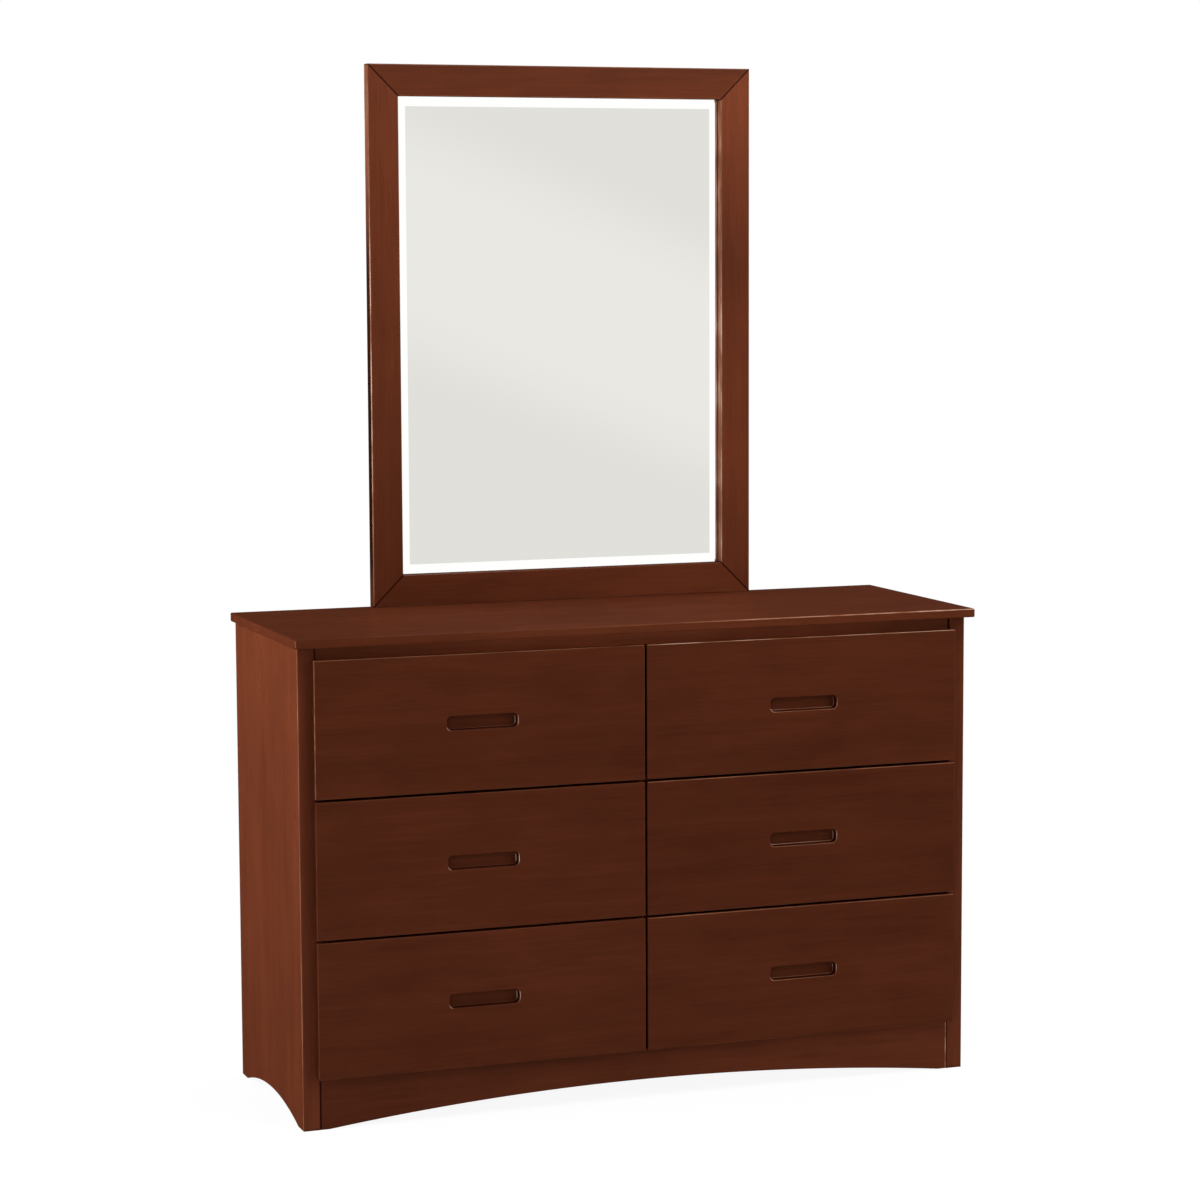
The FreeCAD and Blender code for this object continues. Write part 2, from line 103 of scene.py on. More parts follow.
# Board of each side, and the stain of its face, lifted by painted light and on the left more so
# towards the head, and of its front edge, with painted shade that deepens towards the head under the top,
# from foot to head
SIDE_FINISH = {"left": (292.47, (0.28, 0.52), (0.34, 0.16)), "right": (17.0, (0.25, 0.25), (0.27, 0.07))}
# Rubbing and painted highlight on the sides' outer eased edges
SIDE_WEAR_AND_GLINT = 1.4

# Name, board, painted highlight on the right end's edge, and stain from left to right of each
# rail: on the top rail painted light lifting the shade under the top, on the apron painted light stronger
# to the right
RAIL_FINISH = {
    "front_top_rail": ("top_rail", 23.9, 0.0, (0.35, 1.40, 1.85, 1.35, 0.40)),
    "front_base_rail": ("apron", 44.67, 4.0, (-0.10, 0.04, 0.04, 0.36, 0.34)),
}
RAIL_WEAR = 0.3

# Drawer fronts: board of the first and step to the next, stain of each face, rubbing and painted
# highlight on the right, upper, left and lower edge of each, and painted shading of those edges' sides with
# the
# right one again at the end: painted shade at the ends, painted light lifting the shade in the gaps between
# rows
FRONT_BOARD, FRONT_BOARD_STEP = 201.44, -19.04
FRONT_STAINS = (-0.05, -0.10, -0.09, -0.18, -0.13, -0.14)
EDGE_WEAR_AND_GLINT = (
    (0.3, 0.15, 0.25, 0.2), (0.2, 1.2, 0.0, 0.3), (0.3, 0.15, 0.2, 0.3), (0.2, 1.2, 0.0, 0.3),
    (0.3, 1.1, 1.4, 0.3), (0.2, 2.8, 0.0, 0.3))
EDGE_PAINTED_SHADING = (-0.4, 0.7, -0.4, 0.7, -0.4)

# Painted highlights on a pull's rim and on the foot of its wall, by eighths of a turn from the right, and the
# painted shade on its wall
PULL_RIM = {
    "left": (3.6, 0.5, 0.0, 0.0, 0.1, 5.0, 0.0, 0.5, 3.6),
    "right": (3.6, 0.5, 0.0, 0.0, 0.1, 3.6, 1.8, 1.0, 3.6)}
PULL_FOOT = {
    "left": (5.0, 0.5, 0.0, 0.0, 0.1, 0.3, 0.3, 0.5, 5.0),
    "right": (3.6, 0.5, 0.0, 0.0, 0.1, 2.2, 2.2, 0.8, 3.6)}
PULL_WALL_SHADE = 0.9

# Mirror's frame: board of the first member and step to the next, rubbing and painted highlight on the edges,
# and marks along the stiles at shares of the mirror's height: painted highlights on their edges, painted
# light on the right stile's inner wall, and on the left stile's outer wall painted shade low down and painted
# light at the head
FRAME_BOARD, FRAME_BOARD_STEP = 163.85, 6.1
FRAME_WEAR_AND_GLINT, FRAME_WEAR_AND_GLINT_BELOW = 0.8, 0.1
STILE_PLACES = (0.0, 0.08, 0.24, 0.61, 0.72, 0.83, 1.0)
STILE_MARKS = {
    "mirror_left_stile": {
        "outer_edge": (1.0, 2.4, 3.0, 3.0, 2.0, 1.2, 1.0),
        "outer_painted_light": (0.3, 0.0, 0.0, 0.0, 0.2, 1.4, 1.6),
        "outer_painted_shading": (-0.3, -0.7, -0.85, -0.8, -0.3, 0.3, 0.4)},
    "mirror_right_stile": {
        "inner_edge": (2.4, 2.8, 2.8, 2.6, 1.6, 1.2, 1.2),
        "inner_painted_light": (1.7, 1.8, 1.8, 1.9, 1.9, 1.9, 1.9)},
}

# Name, place, target, width and height of each lamp, and the property that holds its power
LAMPS = (
    ("left_strip", (-2.9, -0.45, 1.25), (0.0, -0.05, 1.25), (1.3, 2.3), "key_power"),
    ("right_lamp", (2.4, -2.4, 2.5), (0.0, 0.0, 0.6), (0.8, 0.8), "right_power"),
    ("upper_lamp", (0.2, -1.05, 2.55), (0.0, 0.1, 1.2), (0.7, 0.7), "upper_power"),
    ("left_front", (-3.4, -4.2, 1.0), (0.0, 0.0, 0.8), (1.6, 1.6), "fill_power"),
    ("right_front", (4.8, -2.5, 0.9), (0.0, 0.0, 0.8), (1.6, 1.6), "front_power"),
    ("left_back", (-3.2, 1.9, 2.0), (0.0, 0.2, 0.8), (1.5, 1.5), "back_power"),
    ("right_back", (3.2, 1.9, 2.0), (0.0, 0.2, 0.8), (1.5, 1.5), "back_power"),
)


def property_kind(make, **limits):
    """Function that makes properties with the same limits and unit."""
    def property_of_kind(name, description, default):
        return make(name=name, description=description, default=default, **limits)
    return property_of_kind


# Named like the functions of bpy.props
Length = property_kind(FloatProperty, min=0.0001, unit="LENGTH")
Factor = property_kind(FloatProperty, min=0, max=1, subtype="FACTOR")
Level = property_kind(FloatProperty, min=0)
Power = property_kind(FloatProperty, min=0, subtype="POWER")
Angle = property_kind(FloatProperty, subtype="ANGLE")
CameraLength = property_kind(FloatProperty, min=1, unit="CAMERA")
Colour = property_kind(FloatVectorProperty, min=0, max=1, subtype="COLOR")


class DresserSizes(bpy.types.PropertyGroup):
    """Sizes of the edges and details that the surfaces add to the frame's boards."""

    arris: Length("Arris", "Radius of the eased edges of sides and drawer fronts", 0.0015)
    fine_arris: Length("Fine arris", "Radius of the sanded edges of rails and boards' backs", 0.0008)
    top_round: Length("Top's edge", "Radius of the top's edges", 0.002)
    top_corner: Length("Top's corner", "Radius of the top's corners", 0.004)
    flat_hold: Length("Flat hold", "Strip beside a round that keeps its face flat in shading", 0.0015)
    front_corner: Length("Front's corner", "Radius of a drawer front's corners", 0.002)
    pull_length: Length("Pull's length", "Length of the pull's pocket", 0.124)
    pull_height: Length("Pull's height", "Height of the pull's pocket", 0.024)
    pull_depth: Length("Pull's depth", "Depth of the pull's pocket", 0.010)
    pull_corner: Length("Pull's corner", "Radius of the pocket's corners", 0.008)
    pull_rim: Length("Pull's rim", "Radius of the eased rim of the pocket", 0.0010)
    pull_round: Length("Pull's round", "Radius where the pocket's wall meets its floor", 0.0020)
    side_foot: Length("Side's foot", "Length of each foot of a side", 0.033)
    side_rise: Length("Side's arch", "Rise of the arch in a side", 0.025)
    apron_foot: Length("Apron's foot", "Flat length at each end of the apron", 0.015)
    apron_rise: Length("Apron's arch", "Rise of the arch in the apron", 0.033)
    frame_width: Length("Frame's width", "Width of a member of the mirror's frame", 0.055)
    frame_lip: Length("Frame's lip", "How far the frame laps over the glass", 0.010)
    frame_round: Length("Frame's edge", "Radius of the frame's front edges", 0.002)
    mitre_ease: Length("Mitre's ease", "Radius of the edges where the frame's members meet", 0.0010)
    bevel_width: Length("Bevel's width", "Width of the bevel ground round the glass", 0.026)
    bevel_fall: Length("Bevel's fall", "How far the bevel drops to the edge of the glass", 0.0018)
    turns: IntProperty(
        name="Steps in a round", description="Points along each quarter round", default=7, min=3)


class DresserFinish(bpy.types.PropertyGroup):
    """Colours and gloss of the finishes."""

    cherry_light: Colour("Cherry, light", "Cherry where the stain took least", (0.128, 0.0307, 0.0121))
    cherry_dark: Colour("Cherry, dark", "Cherry where the stain took most", (0.082, 0.0193, 0.0076))
    # The rubbed and bare colours also paint highlights and glints on edges and in the pulls, and the colour
    # of the joints also paints shade on the pulls' walls and beside the drawers
    cherry_worn_and_glint: Colour("Cherry, worn", "Rubbed stain along the edges", (0.34, 0.135, 0.070))
    cherry_bare_and_glint: Colour("Cherry, bare", "Pale wood where an edge is rubbed through", (0.70, 0.46, 0.35))
    joint_and_shade_dark: Colour("Joint", "Stain gathered in the joints", (0.026, 0.0036, 0.0012))
    lacquer_roughness: Factor("Lacquer's roughness", "Roughness of the satin lacquer", 0.30)
    lacquer_specular: Factor("Lacquer's gloss", "Specular level of the satin lacquer", 0.07)
    front_specular: Factor("Fronts' gloss", "Specular level of the drawer fronts", 0.035)
    top_specular: Factor("Top's gloss", "Specular level of the waxed top", 0.021)
    box_light: Colour("Drawer box, light", "Pale wood of the drawer boxes", (0.50, 0.30, 0.145))
    box_dark: Colour("Drawer box, dark", "Darker grain of the drawer boxes", (0.36, 0.195, 0.085))
    runner_light: Colour("Runner, light", "Waxed hardwood of runners and blocks", (0.40, 0.215, 0.095))
    runner_dark: Colour("Runner, dark", "Darker grain of runners and blocks", (0.27, 0.130, 0.052))
    hardboard_light: Colour("Hardboard, light", "Pale fibres of the hardboard", (0.170, 0.080, 0.036))
    hardboard_dark: Colour("Hardboard, dark", "Dark fibres of the hardboard", (0.085, 0.036, 0.016))
    # Painted reflections: the bevel is brighter than the face, and the face is dimmed outside a broad band
    silver_face: Colour("Mirror's face", "Reflection of the flat of the mirror", (0.820, 0.812, 0.772))
    bevel_painted_reflection: Colour("Mirror's bevel", "Reflection of the polished bevel", (1.0, 1.0, 0.99))
    steel: Colour("Steel", "Plated steel of screws, nails and turn buttons", (0.56, 0.53, 0.47))


class DresserStudio(bpy.types.PropertyGroup):
    """Camera, lamps and floor."""

    camera_place: FloatVectorProperty(
        name="Camera", description="Place of the camera", subtype="TRANSLATION", unit="LENGTH",
        default=(-1.9730, -5.3827, 1.4609))
    yaw: Angle("Yaw", "Turn of the camera to the right", math.radians(20.1085))
    pitch: Angle("Pitch", "Tilt of the camera above level", math.radians(-6.2158))
    roll: Angle("Roll", "Turn of the camera about its own line", math.radians(-0.2568))
    lens: CameraLength("Lens", "Focal length of the lens", 99.439)
    sensor: CameraLength("Sensor", "Width of the camera's sensor", 36.0)
    key_power: Power("Key lamp", "Power of the tall soft lamp at the left", 42.5)
    right_power: Power("Right lamp", "Power of the small lamp high at the right front", 30.0)
    upper_power: Power("Upper lamp", "Power of the small lamp above the front", 18.0)
    fill_power: Power("Fill lamp", "Power of the low soft lamp left of the camera", 22.0)
    front_power: Power("Front lamp", "Power of the low soft lamp at the right front", 46.0)
    back_power: Power("Back lamps", "Power of each soft lamp behind", 60.0)
    sky: Level("Room light", "Level of the even soft light of the room", 0.15)
    ceiling: Level("Ceiling", "Level of the ceiling as satin surfaces show it", 0.6)
    walls: Level("Walls", "Level of the walls and floor as satin surfaces show them", 0.01)
    floor_shade: Factor("Floor's shadow", "Share of the floor's brightness that takes shadow", 0.16)
    floor_lit: Factor("Open floor", "Brightness of the floor where the lamps reach it freely", 0.5)
    shade_reach: Length("Shadow's reach", "Distance at which the floor turns plain white", 2.4)


def corners(node):
    """Lowest and highest corner of a CAD node at rest, as arrays."""
    low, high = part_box(node)
    return np.array(low), np.array(high)


def quarter(turns):
    """Angles along a quarter circle, one minus their sine and one minus their cosine."""
    angle = np.linspace(0, np.pi / 2, turns)
    return angle, 1 - np.sin(angle), 1 - np.cos(angle)


def edge_profile(thickness, back_round, front_round, hold, turns):
    """Inset, height and the share of rubbing and painted highlight along a board's edge, from its back face
    to its front face.

    The line runs flat, round a quarter circle of the back radius, straight up the side, round a quarter
    circle of the front radius, and flat again; the share of rubbing and painted highlight is the sine of
    twice the angle, most in mid round.
    """
    angle, down, up = quarter(turns)
    inset = np.concatenate([
        [back_round + hold], back_round * down, [0, 0], front_round * up, [front_round + hold]])
    height = np.concatenate([
        [0], back_round * up, [back_round + hold, thickness - front_round - hold],
        thickness - front_round * down, [thickness]])
    wear = np.concatenate([[0], np.sin(2 * angle), [0, 0], np.sin(2 * angle), [0]])
    return inset, height, wear


def rounded_rectangles(half_x, half_y, radius, turns):
    """Rings of rounded rectangles, one for each entry of the arrays, counter-clockwise.

    Each corner is a quarter circle about the point one radius in from both sides.
    """
    angle = quarter(turns)[0][None, :] + np.arange(4)[:, None] * np.pi / 2
    sign = np.array([(1, 1), (-1, 1), (-1, -1), (1, -1)])
    centre = sign[None] * np.stack([half_x - radius, half_y - radius], axis=-1)[:, None, :]
    swing = radius[:, None, None, None] * np.stack([np.cos(angle), np.sin(angle)], axis=-1)[None]
    return (centre[:, :, None, :] + swing).reshape(len(radius), -1, 2)


def inset_outlines(outline, inset):
    """A counter-clockwise outline drawn in by each distance: every corner moves along its mitre.

    The mitre is the sum of the two sides' outward normals over one plus their product.
    """
    side = np.roll(outline, -1, axis=0) - outline
    normal = np.stack([side[:, 1], -side[:, 0]], axis=-1) / np.linalg.norm(side, axis=1, keepdims=True)
    before = np.roll(normal, 1, axis=0)
    mitre = (before + normal) / (1 + (before * normal).sum(axis=1, keepdims=True))
    return outline[None] - inset[:, None, None] * mitre[None]


def held(outline, hold):
    """Outline with a point added near both ends of each long side, so that only its corners shade round."""
    after = np.roll(outline, -1, axis=0)
    length = np.linalg.norm(after - outline, axis=1, keepdims=True)
    way = hold * (after - outline) / length
    points = np.stack([outline, outline + way, after - way], axis=1)
    keep = np.concatenate([np.ones_like(length), length > 3 * hold, length > 3 * hold], axis=1) > 0
    return points[keep]


def arch(start, end, rise, count):
    """Points of the circle through two feet on the floor and a crown midway, from start to end."""
    half = (end - start) / 2
    radius = (half ** 2 + rise ** 2) / (2 * rise)
    angle = np.linspace(-1, 1, count) * np.arcsin(half / radius)
    return np.stack([
        (start + end) / 2 + radius * np.sin(angle), radius * np.cos(angle) - (radius - rise)], axis=-1)


def lifted(flat, level, axis):
    """Rings drawn flat, with each ring's level put in as the coordinate of an axis."""
    places = [flat[..., 0], flat[..., 1]]
    places.insert(AXES[axis], np.broadcast_to(level[:, None], flat.shape[:2]))
    return np.stack(places, axis=-1)


def shell(name, rings, smooth=True, **marks):
    """Closed skin over a stack of rings, as a new object.

    Point (i, j) of the grid is point j of ring i. Quads join neighbours round and along, one flat face
    closes the first ring and one the last, and all faces turn outwards by the sign of the volume. Each
    mark is a number for every point, kept as an attribute for the materials.
    """
    count, around = rings.shape[:2]
    index = np.arange(count * around).reshape(count, around)
    after = np.roll(index, -1, axis=1)
    quads = np.stack([index[:-1], after[:-1], after[1:], index[1:]], axis=-1).reshape(-1, 4)
    points = rings.reshape(-1, 3)

    def fan(ring):
        """Triangles from the first point of a ring."""
        return np.stack([np.full(around - 2, ring[0]), ring[1:-1], ring[2:]], axis=-1)

    triangles = np.concatenate([
        quads[:, [0, 1, 2]], quads[:, [0, 2, 3]], fan(index[0, ::-1]), fan(index[-1])])
    a, b, c = (points[triangles[:, k]] - points.mean(axis=0) for k in range(3))
    faces = quads.tolist() + [index[0, ::-1].tolist(), index[-1].tolist()]
    if (a * np.cross(b, c)).sum() <= 0:
        faces = [face[::-1] for face in faces]
    mesh = bpy.data.meshes.new(name)
    mesh.from_pydata(points.tolist(), [], faces)
    mesh.polygons.foreach_set("use_smooth", np.full(len(faces), smooth))
    for mark, value in marks.items():
        attribute = mesh.attributes.new(mark, "FLOAT", "POINT")
        whole = np.broadcast_to(value, (count, around)).astype(np.float32)
        attribute.data.foreach_set("value", np.ascontiguousarray(whole).ravel())
    if mesh.validate():
        raise RuntimeError(f"{name} has a broken mesh")
    piece = bpy.data.objects.new(name, mesh)
    bpy.context.scene.collection.objects.link(piece)
    return piece


def seat(piece, node, material):
    """Lets a piece stand for its CAD node, on the node's body and a material."""
    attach(piece, frame["nodes"][node]["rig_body"])
    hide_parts(node)
    piece.data.materials.append(material)


def dress(material, *nodes):
    """Gives CAD nodes that stay in view their finish."""
    for node in nodes:
        places = frame["nodes"][node].material_slots
        if not places:
            raise RuntimeError(f"{node} has no material slot")
        for place in places:
            place.material = material


class Shader:
    """Node tree of a new material or world, with a short way to add and join nodes."""

    def __init__(self, block):
        self.block = block
        block.use_nodes = True
        self.tree = block.node_tree
        self.tree.nodes.clear()
        kind = "World" if isinstance(block, bpy.types.World) else "Material"
        self.output = self.tree.nodes.new("ShaderNodeOutput" + kind)

    def show(self, socket):
        """Joins the finished shader to the output."""
        self.tree.links.new(socket, self.output.inputs["Surface"])

    def principled(self, inputs):
        """Finishes a material with one surface shader and gives the material."""
        self.show(self.add("BsdfPrincipled", inputs).outputs[0])
        return self.block

    def add(self, kind, inputs=None, **settings):
        """Adds a node with settings; an input that is a socket is joined, any other is set."""
        node = self.tree.nodes.new("ShaderNode" + kind)
        for name, value in settings.items():
            setattr(node, name, value)
        for name, value in (inputs or {}).items():
            if isinstance(value, bpy.types.NodeSocket):
                self.tree.links.new(value, node.inputs[name])
            else:
                node.inputs[name].default_value = value
        return node

    def maths(self, operation, *values):
        """Result of an operation on one, two or three values."""
        return self.add("Math", dict(enumerate(values)), operation=operation).outputs[0]

    def sum(self, first, share, second):
        """First plus share times second."""
        return self.maths("MULTIPLY_ADD", second, share, first)

    def span(self, value, low, high, start=0.0, end=1.0, kind="LINEAR"):
        """Value carried from one range to another and held at its ends."""
        return self.add("MapRange", {
            "Value": value, "From Min": low, "From Max": high, "To Min": start, "To Max": end},
            interpolation_type=kind).outputs[0]

    def mix(self, share, first, second):
        """Two colours mixed by a share."""
        return self.add("Mix", {0: share, 6: first, 7: second}, data_type="RGBA").outputs[2]

    def blend(self, share, first, second):
        """Two shaders mixed by a share."""
        return self.add("MixShader", {0: share, 1: first, 2: second}).outputs[0]

    def white(self, kind, strength):
        """White light of a strength, as an emission or a background."""
        return self.add(kind, {"Color": WHITE, "Strength": strength}).outputs[0]

    def place(self):
        """Place on the object."""
        return self.add("TexCoord").outputs["Object"]

    def noise(self, place, scale, detail, roughness=0.5, distortion=0.0, board=None):
        """Noise with a number of cells to the metre along each axis, of its own for each board given."""
        vector = self.add("Mapping", {"Vector": place, "Scale": scale}).outputs[0]
        inputs = {
            "Vector": vector, "Scale": 1.0, "Detail": detail,
            "Roughness": roughness, "Distortion": distortion}
        if board is None:
            return self.add("TexNoise", inputs).outputs[0]
        return self.add("TexNoise", {**inputs, "W": board}, noise_dimensions="4D").outputs[0]

    def bump(self, height, strength, distance):
        """Normal bent by a height."""
        return self.add("Bump", {"Height": height, "Strength": strength, "Distance": distance}).outputs[0]

    def attribute(self, name):
        """Number that a piece keeps for each of its points, nought where it has none."""
        return self.add("Attribute", attribute_name=name).outputs["Fac"]


def opaque(colour, level=1.0):
    """Colour times a level, with full alpha, as sockets take it."""
    return (*(level * part for part in colour), 1.0)


def board_wood(name, along, light, dark, roughness, specular, figure=1.0, worn_and_glint=None, bare=None, joint=None):
    """Wood with its grain along one axis.

    Five noises share the board's own number as their fourth coordinate: slow clouds of staining, mottle, long
    figure, fine fibres and short pores, each stretched along the grain, so end grain shows on the ends. All
    but the pores add up to the tone between dark and light. Then the board's marks scale the colour by
    stain, which holds staining and painted light and shade; show rubbed and bare wood, which
    also paint highlights and glints, broken up by a sixth noise; and darken joints and painted shade.
    """
    shader = Shader(bpy.data.materials.new(name))
    place = shader.place()
    board = shader.attribute("board")

    def noise(with_grain, across, detail, distortion=0.0):
        """Noise with a number of cells to the metre along and across the grain."""
        scale = [across] * 3
        scale[AXES[along]] = with_grain
        return shader.noise(place, scale, detail, 0.55, distortion, board)

    clouds = noise(1.6, 3.6, 2.0)
    mottle = noise(7.0, 15.0, 3.0, 0.4)
    long_figure = noise(1.6, 34.0, 4.0, 0.5)
    fibres = noise(9.0, 240.0, 3.0)
    pores = shader.span(noise(26.0, 900.0, 1.0), 0.60, 0.72)
    tone = 0.225
    for share, pattern in ((0.25, long_figure), (0.24, fibres), (0.32, clouds), (0.26, mottle)):
        tone = shader.sum(tone, share, pattern)
    middle, spread = 0.76, 0.12 / figure
    colour = shader.mix(shader.span(tone, middle - spread, middle + spread), opaque(dark), opaque(light))
    pore_share, pore_level = 0.22, 0.35
    colour = shader.mix(shader.maths("MULTIPLY", pores, pore_share), colour, opaque(dark, pore_level))
    stain = shader.maths("ADD", 1.0, shader.attribute("stain"))
    colour = shader.add("VectorMath", {0: colour, "Scale": stain}, operation="SCALE").outputs[0]
    # Rubbed and bare colours: edge rubbing and painted highlights and glints
    if worn_and_glint is not None:
        rubbed = shader.span(noise(14.0, 40.0, 2.0), 0.35, 0.65, 0.25, 0.85)
        rub_and_glint = shader.maths("MULTIPLY", shader.attribute("wear"), rubbed)
        colour = shader.mix(rub_and_glint, colour, opaque(worn_and_glint))
        colour = shader.mix(shader.span(rub_and_glint, 1.0, 2.0), colour, opaque(bare))
    # Dark colour of the joints and of painted shade
    if joint is not None:
        colour = shader.mix(shader.attribute("joint"), colour, opaque(joint))
    fibre_height, pore_height = 0.7, -0.5
    grain = shader.sum(shader.sum(0.0, fibre_height, fibres), pore_height, pores)
    return shader.principled({
        "Base Color": colour, "Roughness": shader.span(tone, 0.60, 0.92, roughness + 0.06, roughness - 0.05),
        "Specular IOR Level": specular, "Normal": shader.bump(grain, strength=0.10, distance=0.0004)})


def cherry(along, kind="lacquer"):
    """Dark stained cherry under satin lacquer, made once for each direction of the grain and each gloss."""
    name = f"cherry_{kind}_grain_{along.lower()}"
    if name in bpy.data.materials:
        return bpy.data.materials[name]
    finish = bpy.context.scene.dresser_finish
    gloss = {"lacquer": finish.lacquer_specular, "front": finish.front_specular, "top": finish.top_specular}
    return board_wood(
        name, along, finish.cherry_light, finish.cherry_dark, finish.lacquer_roughness, gloss[kind],
        worn_and_glint=finish.cherry_worn_and_glint, bare=finish.cherry_bare_and_glint, joint=finish.joint_and_shade_dark)


def hardboard(name):
    """Smooth brown hardboard: short fibres pressed every way, from two crossed stretched noises."""
    finish = bpy.context.scene.dresser_finish
    shader = Shader(bpy.data.materials.new(name))
    place = shader.place()
    pressed = {"roughness": 0.6, "distortion": 1.2}
    level_fibres = shader.noise(place, (90, 300, 300), 3.0, **pressed)
    upright_fibres = shader.noise(place, (300, 300, 90), 3.0, **pressed)
    fibres = shader.sum(level_fibres, 1.0, upright_fibres)
    tone = shader.sum(fibres, 0.5, shader.noise(place, (6, 6, 6), 2.0, **pressed))
    low, high = 0.95, 1.55
    return shader.principled({
        "Base Color": shader.mix(
            shader.span(tone, low, high), opaque(finish.hardboard_dark), opaque(finish.hardboard_light)),
        "Roughness": shader.span(tone, low, high, 0.62, 0.46), "Specular IOR Level": 0.3,
        "Normal": shader.bump(fibres, strength=0.12, distance=0.0003)})


def plated_steel(name):
    """Zinc plated steel: a clouded plate with fine rubbing."""
    finish = bpy.context.scene.dresser_finish
    shader = Shader(bpy.data.materials.new(name))
    place = shader.place()
    clouds = shader.noise(place, (260, 260, 260), 3.0)
    rubbing = shader.noise(place, (2400, 2400, 2400), 2.0)
    return shader.principled({
        "Base Color": shader.mix(
            shader.span(clouds, 0.35, 0.65), opaque(finish.steel, 0.72), opaque(finish.steel)),
        "Metallic": 1.0, "Roughness": shader.span(rubbing, 0.3, 0.7, 0.24, 0.42),
        "Normal": shader.bump(rubbing, strength=0.08, distance=0.0001)})


def silver(name, tint, painted_dimming):
    """Silvering seen through polished glass.

    A painted reflection: the colour is dimmed, but for a broad brighter band across the middle: the distance
    from a sloping line, which is a sum of X and Z, goes through a smooth step. A slow noise drifts over both.
    """
    slope, middle = (0.39, 0.0, 1.0), 1.355
    band_half, band_end = 0.10, 0.27
    shader = Shader(bpy.data.materials.new(name))
    place = shader.place()
    across = shader.add("VectorMath", {0: place, 1: slope}, operation="DOT_PRODUCT").outputs["Value"]
    apart = shader.maths("ABSOLUTE", shader.maths("SUBTRACT", across, middle))
    dim_share = shader.span(apart, band_half, band_end, kind="SMOOTHSTEP")
    drift = 0.10
    share = shader.sum(dim_share, drift, shader.noise(place, (1.6, 1.6, 1.6), 1.0))
    colour = shader.mix(shader.span(share, 0.0, 1 + drift), opaque(tint), opaque(tint, 1 - painted_dimming))
    return shader.principled({"Base Color": colour, "Metallic": 1.0, "Roughness": 0.0})


def painted_back(name):
    """Grey protective paint on the back and edges of the glass."""
    shader = Shader(bpy.data.materials.new(name))
    drift = shader.noise(shader.place(), (30, 30, 30), 3.0)
    dark, light = (0.14, 0.15, 0.15), (0.20, 0.21, 0.20)
    colour = shader.mix(drift, opaque(dark), opaque(light))
    return shader.principled({"Base Color": colour, "Roughness": 0.5})


class DRESSER_OT_top(bpy.types.Operator):
    """Thin overhanging top with rounded corners and eased edges"""

    bl_idname = "dresser.top"
    bl_label = "Top"

    def execute(self, context):
        sizes = context.scene.dresser_sizes
        turns = sizes.turns
        low, high = corners("top_panel")
        half, middle = (high - low) / 2, (high + low) / 2
        inset, height, wear = edge_profile(
            high[2] - low[2], sizes.top_round, sizes.top_round, sizes.flat_hold, turns)
        flat = rounded_rectangles(
            half[0] - inset, half[1] - inset, np.maximum(sizes.top_corner - inset, LEAST_CORNER), turns)
        rings = lifted(flat + middle[:2], low[2] + height, "Z")
        # Painted highlight along the top's edges, strongest at the right, little rubbing at the back, and a
        # painted glint on the front-left corner
        rub_and_glint = np.interp(rings[..., 0], (low[0], high[0]), TOP_EDGE_GLINT)
        rub_and_glint[rings[..., 1] > middle[1]] = TOP_WEAR_BACK
        rub_and_glint = wear[:, None] * rub_and_glint
        rub_and_glint[:turns + 1] = 0
        front_left = 5 * turns // 2
        rub_and_glint[turns + 1:turns + 3, front_left] = TOP_CORNER_GLINT
        piece = shell("dresser_top", rings, wear=rub_and_glint, board=TOP_BOARD, stain=TOP_STAIN)
        seat(piece, "top_panel", cherry("X", "top"))
        return {"FINISHED"}


class DRESSER_OT_sides(bpy.types.Operator):
    """Two sides, each cut to two feet by an arch and rebated for the back panel"""

    bl_idname = "dresser.sides"
    bl_label = "Sides"

    def execute(self, context):
        sizes = context.scene.dresser_sizes
        for column, (board, tone, front_edge_painted_shade) in SIDE_FINISH.items():
            rings, marks = side_rings(column, tone, front_edge_painted_shade, sizes)
            piece = shell(f"{column}_side", rings, board=board, **marks)
            seat(piece, f"{column}_side_panel", cherry("Z"))
        return {"FINISHED"}


